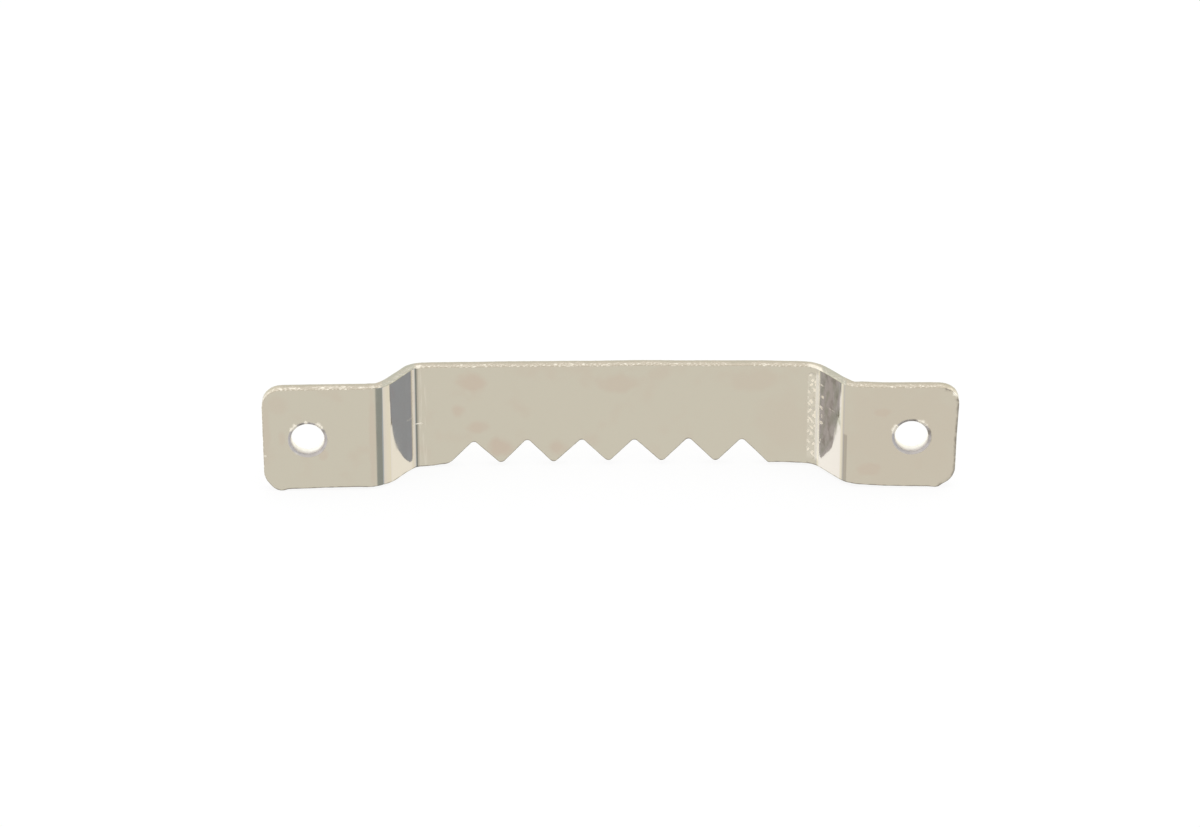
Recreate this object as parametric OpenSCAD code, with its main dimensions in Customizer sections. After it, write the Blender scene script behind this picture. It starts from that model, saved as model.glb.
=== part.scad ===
// Sawtooth picture hanger: one strip of plated steel, blanked, pierced, toothed and bent twice at each end.
// It stands as it is used, with the plain edge up and the teeth down. The two tabs lie against the picture
// frame on the plane y = 0, and the raised bridge faces the wall. The origin is midway between the screw holes.

/* [Strip] */
// Length of the strip from end to end
strip_l = 63; // [50:1:90]
// Width of the strip from its plain edge to its toothed edge
strip_w = 10; // [8:0.5:16]
// Thickness of the steel
steel_t = 1.1; // [0.8:0.1:1.6]
// Rounding of the four outer corners
corner_r = 1.8; // [0.6:0.1:2.6]

/* [Tabs and screw holes] */
// Flat length of a tab, from the end of the strip to the first bend
tab_l = 8.5; // [7.7:0.1:12]
// Diameter of a screw hole
hole_d = 3.1; // [2.5:0.1:4.2]
// Distance from the end of the strip to the centre of the screw hole
hole_inset = 4.1; // [3.2:0.1:4.8]
// Rounding of a screw hole's rim on the picture frame's side, where the punch went in
hole_roll_r = 0.2; // [0.05:0.05:0.4]

/* [Bridge] */
// Gap between the picture frame and the bridge, beside the bends
bridge_gap = 4.3; // [3:0.1:6]
// How much wider the gap is at the middle of the bridge, which is bowed
bridge_bow = 0.25; // [0.05:0.05:0.6]
// How far the bridge sits to the right of the middle of the strip
bridge_shift = 0.5; // [-1:0.1:1]
// Slope of the risers between tab and bridge
riser_angle = 54; // [40:0.5:65]
// Inside radius of the bend where the left riser meets the bridge
left_bend_r = 0.8; // [0.4:0.1:2.2]
// Inside radius of the bend where the right riser meets the bridge, which the tool left softer
right_bend_r = 1.8; // [0.4:0.1:2.2]
// Inside radius of the bend where a riser meets its tab
tab_bend_r = 2.7; // [1:0.1:3]

/* [Teeth] */
// Distance from one notch to the next
notch_pitch = 4.9; // [4:0.1:6]
// Depth of a notch, from the lower edge of the strip to its root
notch_depth = 2.5; // [1.5:0.1:3.5]
// Angle between the two flanks of a notch
notch_angle = 87.5; // [80:0.5:110]
// Rounding at the root of a notch, where the nail rests
root_r = 0.38; // [0.1:0.02:0.6]
// Rounding at the tip of a tooth
tip_r = 0.43; // [0.1:0.01:0.6]
// Least length of plain edge between a bend and the first notch
land_min = 1.8; // [1.2:0.1:4]
// Rounding where the left land meets its notch
left_shoulder_r = 1.2; // [0.3:0.1:1.6]
// Rounding where the right land meets its notch
right_shoulder_r = 0.3; // [0.1:0.1:1.6]
// How far the row of notches sits to the right of the middle of the strip
teeth_shift = -0.2; // [-0.8:0.1:0.8]

/* [Hidden] */

// Cuts and blanks run past the metal by this much
overrun = steel_t;
// Fineness of every bend, hole and rounding
bend_facets = 96;
// Straight steps in each half of the bow
bow_steps = 6;
// The circles of the bends stand this much over the straights, and so cross them at a clear angle
bend_lap = steel_t / 500;

// The tab's bend: the centre of its circle, seen from above
riser_normal = [sin(riser_angle), cos(riser_angle)];
tab_centre_x = strip_l / 2 - tab_l;
tab_centre_y = steel_t + tab_bend_r;

// The bridge's bend on one side, whose inside radius is r: the centre of its circle, seen from above
function bends_r(r) = r + tab_bend_r + steel_t;
function bridge_centre_y(r) = bridge_gap - r;
function riser_l(r) = (bridge_centre_y(r) - tab_centre_y + bends_r(r) * cos(riser_angle)) / sin(riser_angle);
function bends_run(r) = bends_r(r) * sin(riser_angle) + riser_l(r) * cos(riser_angle);
function bridge_centre_x(r) = tab_centre_x - bends_run(r);

// The bowed bridge: on each side its arc runs from the middle into that side's bend
function bow_centre_r(r) = (bridge_centre_x(r) ^ 2 + bridge_bow ^ 2) / (2 * bridge_bow);
function bow_r(r) = bow_centre_r(r) + r;
function bow_angle(r) = asin(bridge_centre_x(r) / bow_centre_r(r));
function bow_centre_y(r) = bridge_gap + bridge_bow - bow_r(r);
depth = bridge_gap + bridge_bow + steel_t;

// The teeth: heights on the strip, whose lower edge is at lower_z
lower_z = -strip_w / 2;
flank = notch_angle / 2;
bridge_l = bridge_centre_x(left_bend_r) + bridge_centre_x(right_bend_r);
notch_count = floor((bridge_l - 2 * land_min) / notch_pitch);
root_z = lower_z + notch_depth;
root_centre_z = root_z - root_r;
apex_z = root_centre_z + root_r / sin(flank);
tip_centre_z = apex_z - notch_pitch / 2 / tan(flank) + tip_r / sin(flank);
shoulder_reach = (apex_z - lower_z) * tan(flank);
first_x = teeth_shift - (notch_count - 1) / 2 * notch_pitch;
last_x = first_x + (notch_count - 1) * notch_pitch;
left_shoulder_t = left_shoulder_r * tan((90 - flank) / 2);
right_shoulder_t = right_shoulder_r * tan((90 - flank) / 2);
left_shoulder_x = first_x - shoulder_reach - left_shoulder_t;
right_shoulder_x = last_x + shoulder_reach + right_shoulder_t;

function notch_x(i) = first_x + i * notch_pitch;
function tip_x(i) = first_x + (i + 0.5) * notch_pitch;

// A point on a circle round (x, z), in the direction that squares with a flank: right is 1 or -1, up is 1 or -1
function on_flank(x, z, r, right, up) = [x + right * r * cos(flank), z + up * r * sin(flank)];

// Corners of one surface of the bent strip on one side, from its end to just short of mid-span.
// The bow is so slight that short straight steps follow its arc to a hundredth of the steel's thickness.
function surface_corners(level, reach, r) = concat([
    [reach, level],
    [tab_centre_x, level],
    [tab_centre_x, tab_centre_y] - (tab_bend_r + steel_t - level) * riser_normal,
    [bridge_centre_x(r), bridge_centre_y(r)] + (r + level) * riser_normal
], [
    for (i = [bow_steps : -1 : 1])
        let (turn = bow_angle(r) * i / bow_steps)
            [0, bow_centre_y(r)] + (bow_r(r) + level) * [sin(turn), cos(turn)]
]);

// All that lies on the picture frame's side of one surface of the strip, seen from above.
// The level is 0 for the surface that faces the frame, and the steel's thickness for the other.
module under_surface(level, beyond) {
    reach = strip_l / 2 + abs(bridge_shift) + beyond;
    right = surface_corners(level, reach, right_bend_r);
    left_corners = surface_corners(level, reach, left_bend_r);
    left = [for (i = [len(left_corners) - 1 : -1 : 0]) [-left_corners[i].x, left_corners[i].y]];
    mid_span = [[0, bridge_gap + bridge_bow + level]];
    below = [[-right[0].x, -beyond], [right[0].x, -beyond]];
    difference() {
        union() {
            polygon(concat(below, right, mid_span, left));
            for (side = [[-1, left_bend_r], [1, right_bend_r]])
                translate([side[0] * bridge_centre_x(side[1]), bridge_centre_y(side[1])])
                    circle(r = side[1] + level + bend_lap, $fn = bend_facets);
        }
        for (x = [-tab_centre_x, tab_centre_x])
            translate([x, tab_centre_y]) circle(r = tab_bend_r + steel_t - level + bend_lap, $fn = bend_facets);
    }
}

// The bent strip seen from above
module bent_profile() {
    translate([bridge_shift, 0])
        difference() {
            under_surface(steel_t, overrun);
            under_surface(0, 2 * overrun);
        }
}

// The blank's outline seen from the front, without its teeth
module plain_outline() {
    straight_x = strip_l / 2 - corner_r;
    straight_z = strip_w / 2 - corner_r;
    square([strip_l, 2 * straight_z], center = true);
    square([2 * straight_x, strip_w], center = true);
    for (x = [-straight_x, straight_x], z = [-straight_z, straight_z])
        translate([x, z]) circle(r = corner_r, $fn = bend_facets);
}

// What the punch takes out of the lower edge: a row of notches with round roots, between teeth with round tips
module tooth_cut() {
    below_z = lower_z - notch_pitch;
    right_side = [
        [left_shoulder_x, below_z],
        [right_shoulder_x, below_z],
        [right_shoulder_x, lower_z],
        on_flank(right_shoulder_x, lower_z + right_shoulder_r, right_shoulder_r, -1, -1)
    ];
    zigzag = [
        for (i = [notch_count - 1 : -1 : 0], k = [0 : (i > 0 ? 3 : 1)])
            k < 2 ? on_flank(notch_x(i), root_centre_z, root_r, 1 - 2 * k, 1)
                  : on_flank(tip_x(i - 1), tip_centre_z, tip_r, 5 - 2 * k, -1)
    ];
    left_side = [
        on_flank(left_shoulder_x, lower_z + left_shoulder_r, left_shoulder_r, 1, -1),
        [left_shoulder_x, lower_z]
    ];
    difference() {
        union() {
            polygon(concat(right_side, zigzag, left_side));
            for (i = [0 : notch_count - 1])
                translate([notch_x(i), root_centre_z]) circle(r = root_r, $fn = bend_facets);
        }
        for (i = [0 : notch_count - 2])
            translate([tip_x(i), tip_centre_z]) circle(r = tip_r, $fn = bend_facets);
        translate([left_shoulder_x, lower_z + left_shoulder_r]) circle(r = left_shoulder_r, $fn = bend_facets);
        translate([right_shoulder_x, lower_z + right_shoulder_r]) circle(r = right_shoulder_r, $fn = bend_facets);
    }
}

// The blank's outline with its teeth
module blank_outline() {
    difference() {
        plain_outline();
        tooth_cut();
    }
}

// Stands a front outline up and gives it the depth of the whole hanger
module through_depth() {
    translate([0, depth + overrun, 0])
        rotate([90, 0, 0])
            linear_extrude(height = depth + 2 * overrun) children();
}

// A screw hole, whose rim is drawn in where the punch entered
module screw_hole(x) {
    rim_r = hole_d / 2 + hole_roll_r;
    translate([x, 0, 0])
        rotate([-90, 0, 0])
            rotate_extrude($fn = bend_facets)
                difference() {
                    translate([0, -overrun]) {
                        square([hole_d / 2, steel_t + 2 * overrun]);
                        square([rim_r, overrun + hole_roll_r]);
                    }
                    translate([rim_r, hole_roll_r]) circle(r = hole_roll_r, $fn = bend_facets);
                }
}

// The hanger: the bent strip, trimmed to the blank's outline, with its teeth and its two screw holes
module hanger_strip() {
    color("#c9c3b1")
        difference() {
            intersection() {
                linear_extrude(height = strip_w + 2 * overrun, center = true) bent_profile();
                through_depth() blank_outline();
            }
            for (x = [-1, 1]) screw_hole(x * (strip_l / 2 - hole_inset));
        }
}

hanger_strip();
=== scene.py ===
import math

import bpy
import numpy as np
from mathutils import Matrix, Vector, noise


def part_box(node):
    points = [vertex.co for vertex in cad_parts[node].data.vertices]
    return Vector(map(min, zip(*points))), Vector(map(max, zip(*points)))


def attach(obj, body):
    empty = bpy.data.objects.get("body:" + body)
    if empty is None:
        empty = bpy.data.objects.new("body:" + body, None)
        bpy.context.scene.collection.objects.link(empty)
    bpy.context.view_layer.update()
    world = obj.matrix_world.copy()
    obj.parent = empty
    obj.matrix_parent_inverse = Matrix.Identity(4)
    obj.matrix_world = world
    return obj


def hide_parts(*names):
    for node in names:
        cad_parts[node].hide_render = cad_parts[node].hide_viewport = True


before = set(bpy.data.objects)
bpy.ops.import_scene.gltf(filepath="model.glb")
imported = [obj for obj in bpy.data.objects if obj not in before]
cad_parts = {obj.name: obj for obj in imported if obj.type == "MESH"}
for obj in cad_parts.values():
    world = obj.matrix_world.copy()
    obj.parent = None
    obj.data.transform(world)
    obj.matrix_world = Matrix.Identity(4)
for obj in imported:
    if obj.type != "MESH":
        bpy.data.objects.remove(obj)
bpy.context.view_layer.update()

bl_info = {
    "name": "Sawtooth Picture Hanger",
    "version": (1, 0, 0),
    "blender": (4, 5, 0),
    "location": "View3D > Sidebar > Hanger",
    "description": "Builds a pressed steel sawtooth picture hanger and the table it is shown on",
    "category": "Add Mesh",
}

MM = 0.001
NODE = "hanger_strip"
BOX_LOW, BOX_HIGH = (Vector(corner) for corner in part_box(NODE))
NOISE_SEED = Vector((11.3, 4.7, 23.1))
STRIP_NAME = "hanger_strip_plated"

# Numbers of the three materials
FACE, EDGE, BORE = 0, 1, 2

# Fineness of the mesh: steps along the bent line and on a flank, in mm, and points or steps in each rounding
CHAIN_STEP, FLANK_STEP = 0.005, 0.3
LEFT_SHOULDER_POINTS, RIGHT_SHOULDER_POINTS, ROOT_POINTS, TIP_POINTS = 7, 5, 9, 9
RIM_STEPS, WALL_STEPS, CORNER_POINTS, TAB_EDGE_POINTS, TAB_END_POINTS = 4, 5, 10, 19, 17
# A new column for so many degrees of turn and so many mm of length, and the least gap beside a crease in mm
COLUMN_TURN, COLUMN_STEP, CREASE_GAP = 4.0, 0.45, 0.02
# Rows across the strip and round a screw hole, and how far each crowds towards its ends
STRIP_ROWS, STRIP_CROWD, HOLE_ROWS, HOLE_CROWD = 24, 0.35, 9, 0.45

# Height of the screw holes in mm, and their edges' rounding and roughness as shares of the strip's own
HOLE_HEIGHT, HOLE_EDGE_SHARE = -0.05, 0.6
# Width of the flat band along every rim of the frame side that carries the painted highlights and shade, in
# mm
RIM_BAND = 0.13
# Ripples of a torn edge, fine and broad: waves for a mm of edge, and for a mm of depth
FINE_TEAR, BROAD_TEAR = (3.1, 5.0), (0.5, 0.3)
# A rim's painted highlight and shade, where as strong as this, reach onto the face, with a share of their
# strength
STRONG_RIM_SHADE, REACH_SHARE = 0.85, 0.5

# This piece's notches: place along the strip and height of each root, then of each tip, in mm
ROOTS = (
    (-12.42, -2.75), (-7.52, -2.64), (-2.51, -2.65), (2.31, -2.67), (7.28, -2.57), (12.18, -2.63),
)
TIPS = (
    (-9.93, -4.88), (-5.10, -4.86), (-0.07, -4.79), (4.82, -4.80), (9.77, -4.80),
)

# Slope of the frame side along the bowed bridge, and along the whole strip: place in mm from the middle, and
# degrees
BOW = ((-3.0, 0.5), (6.0, -0.4), (13.5, -0.9), (16.5, -2.2), (17.5, -4.0), (18.2, -12.0))
SLOPES = (
    (-31.5, 1.0), (-22.35, 1.0), (-21.2, 20.0), (-20.55, 38.0), (-19.96, 51.5), (-19.5, 56.5),
    (-18.9, 57.0), (-18.15, 52.0), (-17.97, 46.0), (-17.65, 20.0), (-17.33, 5.0), (-16.9, 2.0), *BOW,
    (19.05, -44.0), (19.35, -54.0), (20.5, -54.5), (21.05, -52.0), (21.45, -46.0), (21.6, -38.0),
    (22.8, -1.0), (31.5, -1.0),
)

# Slope that the polished faces show by what they mirror: steeper on the risers, with jumps at four creases
CREASES = (-20.58, -17.72, 18.95, 21.29)
SHINE = (
    (-31.5, 1.0), (-22.35, 1.0), (-21.3, 19.0), (-21.17, 21.0), (-20.59, 28.0), (-20.57, 41.0),
    (-20.44, 45.0), (-20.3, 49.0), (-20.12, 50.5), (-19.97, 51.5), (-19.92, 52.5), (-19.88, 55.0),
    (-19.79, 58.7), (-19.5, 59.5), (-19.2, 59.5), (-18.86, 60.7), (-18.54, 61.2), (-18.25, 60.0),
    (-18.08, 54.0), (-18.0, 51.0), (-17.92, 46.0), (-17.73, 40.0), (-17.71, 28.0), (-17.60, 22.0),
    (-17.51, 19.0), (-17.43, 8.0), (-17.28, 3.0), (-17.0, 2.0), *BOW, (18.94, -23.0), (18.96, -42.0),
    (19.2, -51.0), (19.26, -56.0), (19.4, -63.0), (19.8, -61.2), (20.27, -61.0), (20.4, -58.5),
    (20.76, -58.0), (20.86, -55.0), (20.97, -54.0), (21.03, -50.0), (21.28, -42.0), (21.30, -24.0),
    (21.8, -15.0), (22.6, -1.0), (31.5, -1.0),
)

# Steel lost where the tool drew the risers: place in mm from the middle, and mm
THINNING = (
    (-21.0, 0.0), (-20.3, 0.03), (-19.6, 0.08), (-18.9, 0.13), (-18.3, 0.15), (-17.8, 0.10), (-17.2, 0.02),
    (-16.0, 0.0), (16.5, 0.0), (17.4, 0.03), (18.6, 0.14), (19.2, 0.18), (20.4, 0.18), (21.0, 0.10),
    (21.8, 0.0),
)

# Stains in the plating: place along the strip, height, half length and half height in mm, and strength
STAINS = (
    (-12.53, 3.3, 1.15, 1.1, 0.8), (-13.86, 0.6, 0.55, 0.6, 0.7), (-12.1, -1.2, 0.95, 0.6, 0.7),
    (-10.0, -3.3, 1.0, 0.85, 0.9), (-4.9, -3.4, 0.75, 0.7, 0.7), (0.95, 3.2, 2.0, 0.8, 0.55),
    (13.3, 3.5, 2.6, 1.1, 0.4), (24.8, 2.4, 0.85, 0.5, 0.7), (23.7, -3.3, 1.1, 0.75, 0.7),
    (28.1, -2.9, 0.5, 0.8, 0.4), (26.5, 0.0, 6.5, 6.5, 0.3), (16.2, -0.8, 2.2, 3.2, 0.25),
    (-26.0, -1.6, 0.35, 0.5, 0.5), (-29.7, 0.0, 0.3, 0.8, 0.4), (-31.2, 0.5, 0.4, 3.0, 0.4),
    (-30.0, 3.6, 0.9, 0.8, 0.35), (-21.5, 0.0, 0.3, 4.6, 0.5),
)

# Bright scratches, in the same terms
SCRATCHES = (
    (-17.42, -0.70, 0.32, 0.07, 0.9), (-18.3, 0.05, 0.25, 0.12, 0.2), (-31.3, -1.67, 0.13, 0.10, 0.8),
    (19.36, 3.49, 0.13, 0.09, 0.7), (19.44, 2.32, 0.12, 0.14, 1.0), (19.30, 1.22, 0.12, 0.12, 0.9),
    (19.38, 1.12, 0.08, 0.16, 0.8), (19.39, 0.35, 0.05, 0.22, 0.6), (19.36, -0.36, 0.13, 0.16, 0.9),
    (19.24, -2.42, 0.08, 0.10, 0.7), (19.33, -2.15, 0.05, 0.12, 0.5), (20.2, 1.55, 0.35, 0.05, 0.25),
)

# Painted highlights and painted shade on the rolled rims of the screw holes: degrees anticlockwise from the
# right, and shade
LEFT_RIM = (
    (0, -0.35), (20, -0.3), (34, -0.5), (42, 0.9), (64, 1.0), (72, -0.3), (86, -0.4), (91, 0.9), (97, 0.9),
    (102, -0.6), (117, -0.6), (125, 0.9), (147, 0.9), (155, 0.1), (180, 0.2), (215, 0.1), (235, 0.3),
    (250, 0.0), (270, -0.2), (310, -0.1), (330, -0.3), (360, -0.35),
)
RIGHT_RIM = (
    (0, -0.7), (22, -0.7), (32, -0.4), (42, 0.9), (70, 1.0), (78, -0.8), (90, -0.5), (106, -0.7),
    (131, -0.8), (139, 0.9), (164, 0.9), (175, 0.2), (215, 0.1), (235, 0.3), (250, 0.0), (300, 0.0),
    (325, 0.0), (345, -0.5), (360, -0.7),
)

# The same painted highlights and shade along the strip's own edges: by the way an edge faces, for the right
# end and for the rest
END_RIM = (
    (-180, -0.6), (-90, -0.6), (-80, -1.0), (-20, -1.0), (0, -0.9), (20, -0.9), (30, 0.9), (50, 0.9),
    (58, -0.95), (72, -0.9), (80, 0.0), (180, 0.0),
)
PLAIN_RIM = (
    (-180, -0.3), (-135, -0.35), (-100, -0.75), (-80, -0.75), (-45, -0.35), (0, -0.3), (45, 0.0),
    (135, 0.0), (180, -0.3),
)

# How far the sheared edges wander outward: place in mm from the middle, and mm
TOP_WANDER = (
    (-30.5, 0.04), (-29.0, 0.065), (-25.0, 0.08), (-21.5, 0.08), (-20.6, -0.03), (-19.5, -0.08),
    (-18.5, -0.06), (-17.9, 0.0), (-17.0, 0.04), (-13.0, 0.01), (-9.0, 0.01), (-5.0, -0.015),
    (-1.0, -0.02), (3.0, 0.025), (7.0, -0.01), (14.0, 0.0), (16.0, -0.03), (18.2, 0.0), (19.2, -0.09),
    (21.5, -0.07), (22.0, 0.0), (22.6, 0.06), (23.2, 0.05), (24.0, 0.01), (25.0, -0.01), (29.0, 0.02),
    (30.3, 0.0),
)
LOW_WANDER = (
    (-31.0, 0.10), (-30.5, 0.27), (-30.2, 0.30), (-29.8, 0.29), (-29.4, 0.14), (-29.0, 0.10),
    (-28.0, 0.09), (-26.0, 0.03), (-23.0, -0.01), (-21.7, 0.04), (-20.6, 0.05), (-20.0, 0.15),
    (-19.5, 0.22), (-19.0, 0.20), (-18.1, 0.24), (-17.0, 0.18), (-16.0, 0.12), (-15.0, 0.05),
    (15.5, -0.02), (17.5, 0.02), (21.0, 0.03), (22.0, -0.05), (23.0, 0.0), (25.0, 0.12), (27.0, 0.15),
    (29.0, 0.16), (29.6, 0.22), (29.9, 0.25), (30.3, 0.05), (30.6, 0.0),
)
# How the strip's ends lean: height in mm, and mm outward; where the lean begins, and its run
LEFT_LEAN = ((-4.0, -0.06), (5.0, -0.02))
RIGHT_LEAN = ((-4.0, -0.05), (-1.5, -0.02), (0.0, 0.0), (4.5, 0.17))
LEAN_START, LEAN_RUN = 29.0, 2.0
# Reach of the right end's own painted rim shade, and length over which the wander sets in beside the teeth,
# in mm
END_REACH, TEETH_FADE = 2.5, 0.8
# The wander grows from this share of the half width, and over this one
WANDER_START_SHARE, WANDER_RUN_SHARE = 0.4, 0.5

# Upright zones on the plate: middle, half width and soft fringe, in mm
# On the risers the plate is painted whiter, a painted sheen
LEFT_RISER, RIGHT_RISER = (-19.0, 0.85, 0.12), (20.1, 0.85, 0.12)
# Lines that the tools marked, then painted shade in the left crease and low in the right tab's bend
TOOL_LINES, LEFT_CREASE_SHADE, RIGHT_BEND_SHADE = (-17.15, 0.3, 0.25), (-17.55, 0.1, 0.06), (21.42, 0.13, 0.06)
# Zones that the tools marked: the scuff band, and a narrow band at the right crease
SCUFF_BAND, SMOOTH_BAND = (18.50, 0.30, 0.12), (19.0, 0.15, 0.05)
# The same on the sheared edges; those beside the bends carry a painted highlight
WORN_EDGE, LEFT_EDGE_GLINT, RIGHT_EDGE_GLINT = (11.9, 0.9, 0.4), (-17.4, 0.12, 0.12), (18.75, 0.5, 0.3)
LEFT_RISER_EDGE, RIGHT_RISER_EDGE = (-19.2, 1.3, 0.3), (20.4, 0.9, 0.3)
# The right riser carries painted dark reflections above a slanting line: its rise, its foot along the strip
# and its soft limits
SLANT, SLANT_FOOT, SLANT_LIMITS = 2.4, 19.3, (-4.1, -3.6)
# Heights over which the scuffs end and the right bend's painted shade begins, and depth over which marks end,
# in mm
SCUFF_END, BEND_SHADE_TOP, MARK_DEPTH = (4.1, 4.6), (0.0, -0.3), (0.3, 0.5)
# Depths in mm over which the cut turns torn, its sparks die out, and the bore's polish sets in,
# and how far the torn line wavers
TORN_DEPTH, SPARK_DEPTH, POLISH_DEPTH, WAVER = (0.5, 0.75), (0.35, 0.65), (0.15, 0.8), 0.6
# Depth of the plate's rolling lines, of the torn surface and of the bore's scores, in mm
ROLLED_DEPTH, TEAR_DEPTH, SCORE_DEPTH = 0.004, 0.03, 0.01
# Roughness of the plate, of the cut from burnished to torn, and of the bore
PLATE_ROUGHNESS, CUT_ROUGHNESS, BORE_ROUGHNESS = (0.07, 0.12), (0.2, 0.34), (0.45, 0.6)


def linear(hex_colour):
    """Linear red, green, blue and alpha of an sRGB hex colour."""
    parts = [int(hex_colour[i:i + 2], 16) / 255 for i in (1, 3, 5)]
    return [c / 12.92 if c <= 0.04045 else ((c + 0.055) / 1.055) ** 2.4 for c in parts] + [1.0]


def millimetres(name, text, default, low, high):
    """A length in millimetres that the user may change."""
    return bpy.props.FloatProperty(
        name=name, description=text, default=default, min=low, max=high, precision=3
    )


def in_degrees(name, text, degrees, **limits):
    """An angle in degrees that the user may change, with limits in radians."""
    return bpy.props.FloatProperty(
        name=name, description=text, default=math.radians(degrees), subtype="ANGLE", **limits
    )


def paint(name, text, hex_colour):
    """A colour that the user may change."""
    return bpy.props.FloatVectorProperty(
        name=name, description=text, default=linear(hex_colour), size=4, min=0, max=1, subtype="COLOR"
    )


class HangerSizes(bpy.types.PropertyGroup):
    """Sizes of the strip, its tabs and its bridge."""

    length: millimetres("Length", "Strip from end to end", (BOX_HIGH.x - BOX_LOW.x) / MM, 50, 90)
    width: millimetres("Width", "Plain edge to toothed edge", (BOX_HIGH.z - BOX_LOW.z) / MM, 8, 16)
    thickness: millimetres("Thickness", "Thickness of the steel", 1.1, 0.8, 1.6)
    corner_radius: millimetres("Corner radius", "Rounding of the four outer corners", 1.8, 0.6, 2.6)
    hole_diameter: millimetres("Hole diameter", "Diameter of a screw hole", 3.0, 2.5, 4.2)
    hole_inset: millimetres("Hole inset", "End of the strip to the centre of a screw hole", 4.1, 3.2, 4.8)
    rim_roll: millimetres("Rim roll", "Rounding of a screw hole's rim on the frame side", 0.3, 0.05, 0.4)
    right_corner: millimetres("Right upper corner", "Rounding of the right upper corner", 1.75, 0.6, 2.6)
    root_radius: millimetres("Root radius", "Rounding at the root of a notch", 0.38, 0.1, 0.6)
    tip_radius: millimetres("Tip radius", "Rounding at the tip of a tooth", 0.43, 0.1, 0.6)
    flank_angle: in_degrees(
        "Flank angle", "Angle between a notch's flank and its axis", 43.7, min=0.6, max=1.0
    )
    left_shoulder: millimetres("Left shoulder", "Rounding between left land and notch", 1.2, 0.3, 1.6)
    right_shoulder: millimetres("Right shoulder", "Rounding between right land and notch", 0.3, 0.1, 1.6)
    burr_round: millimetres("Burr side", "Rounding of the strip's edges on the frame side", 0.07, 0.02, 0.2)
    die_roll: millimetres("Die roll", "Rounding of the strip's edges on the wall side", 0.10, 0.02, 0.3)
    edge_rough: millimetres("Edge roughness", "Unevenness of the sheared edges", 0.012, 0, 0.05)


class HangerFinish(bpy.types.PropertyGroup):
    """Colours of the plated steel, some of them painted sheen, highlights and shade."""

    plate: paint("Nickel plate", "Rolled faces under bright nickel", "#CEC7B5")
    stain: paint("Stain", "Faint warm blotches in the plating", "#CCBDAB")
    # Painted sheen: the risers and the rims of the screw holes are painted whiter
    painted_sheen: paint("Drawn plate", "Plate stretched and whitened on the risers", "#CFC9C4")
    # On the right riser these patches are painted dark reflections; the risers' cut edges are dulled with it
    # too
    blotch: paint("Blotch", "Dull greenish patches on the right riser", "#B5B5A6")
    # Also the painted glints on the cut edges and the painted highlights on the rims
    scuff_and_glint: paint("Scuff", "Plate rubbed bright by the bending tool", "#FFF8E8")
    # Also the painted shade on rims and in the bends, and the dark part of the right riser's painted
    # reflection
    grime_and_shade: paint("Grime", "Dark left in scuffs and along rims", "#8F877B")
    edge: paint("Burnished edge", "Cut edge beside the frame side, burnished by the punch", "#C6BCA9")
    torn: paint("Torn edge", "Cut edge towards the wall side, torn and dull", "#B9B29F")
    # Its near-white colour is a painted highlight
    bore: paint("Bore", "Inside of a screw hole, polished by the punch", "#F7F5EE")
    floor: paint("Floor", "Plain pale table top", "#FAFAFA")


class HangerStage(bpy.types.PropertyGroup):
    """Camera and light."""

    camera_distance: bpy.props.FloatProperty(
        name="Camera distance", description="Camera to the hanger", default=0.45, min=0.1, unit="LENGTH"
    )
    camera_tilt: in_degrees("Camera tilt", "Camera above the floor", 27.6)
    camera_turn: in_degrees("Camera turn", "Camera to the side of straight on", -0.5)
    camera_slide: bpy.props.FloatVectorProperty(
        name="Camera slide", description="Camera moved right and up without turning", size=2,
        default=(-0.885 * MM, 2.196 * MM), unit="LENGTH",
    )
    lens: bpy.props.FloatProperty(name="Lens", description="Focal length in mm", default=148.8, min=20)
    lamp_power: bpy.props.FloatProperty(
        name="Lamp power", description="Soft lamp above", default=0.9, min=0, unit="POWER"
    )


def table(rows, at):
    """Reads a table of place and value between its rows."""
    places, values = zip(*rows)
    return np.interp(at, places, values)


def bend_chain(sizes):
    """The bent strip's front seen from above, at fine steps: running length, x, y, slope and thickness."""
    x = np.arange(-sizes.length / 2, sizes.length / 2 + CHAIN_STEP / 2, CHAIN_STEP)
    angle = np.radians(table(SLOPES, x))
    middle = (angle[1:] + angle[:-1]) / 2
    y = np.concatenate([[0], np.cumsum(CHAIN_STEP * np.tan(middle))])
    y -= np.interp(SLOPES[1][0], x, y)
    s = np.concatenate([[0], np.cumsum(CHAIN_STEP / np.cos(middle))])
    return s, x, y, angle, sizes.thickness - table(THINNING, x)


def arc(centre, radius, start, end, count):
    """Points and outward normals on an arc, angles in radians."""
    turns = np.linspace(start, end, count)
    normals = np.stack([np.cos(turns), np.sin(turns)], 1)
    return np.array(centre) + radius * normals, normals


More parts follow.
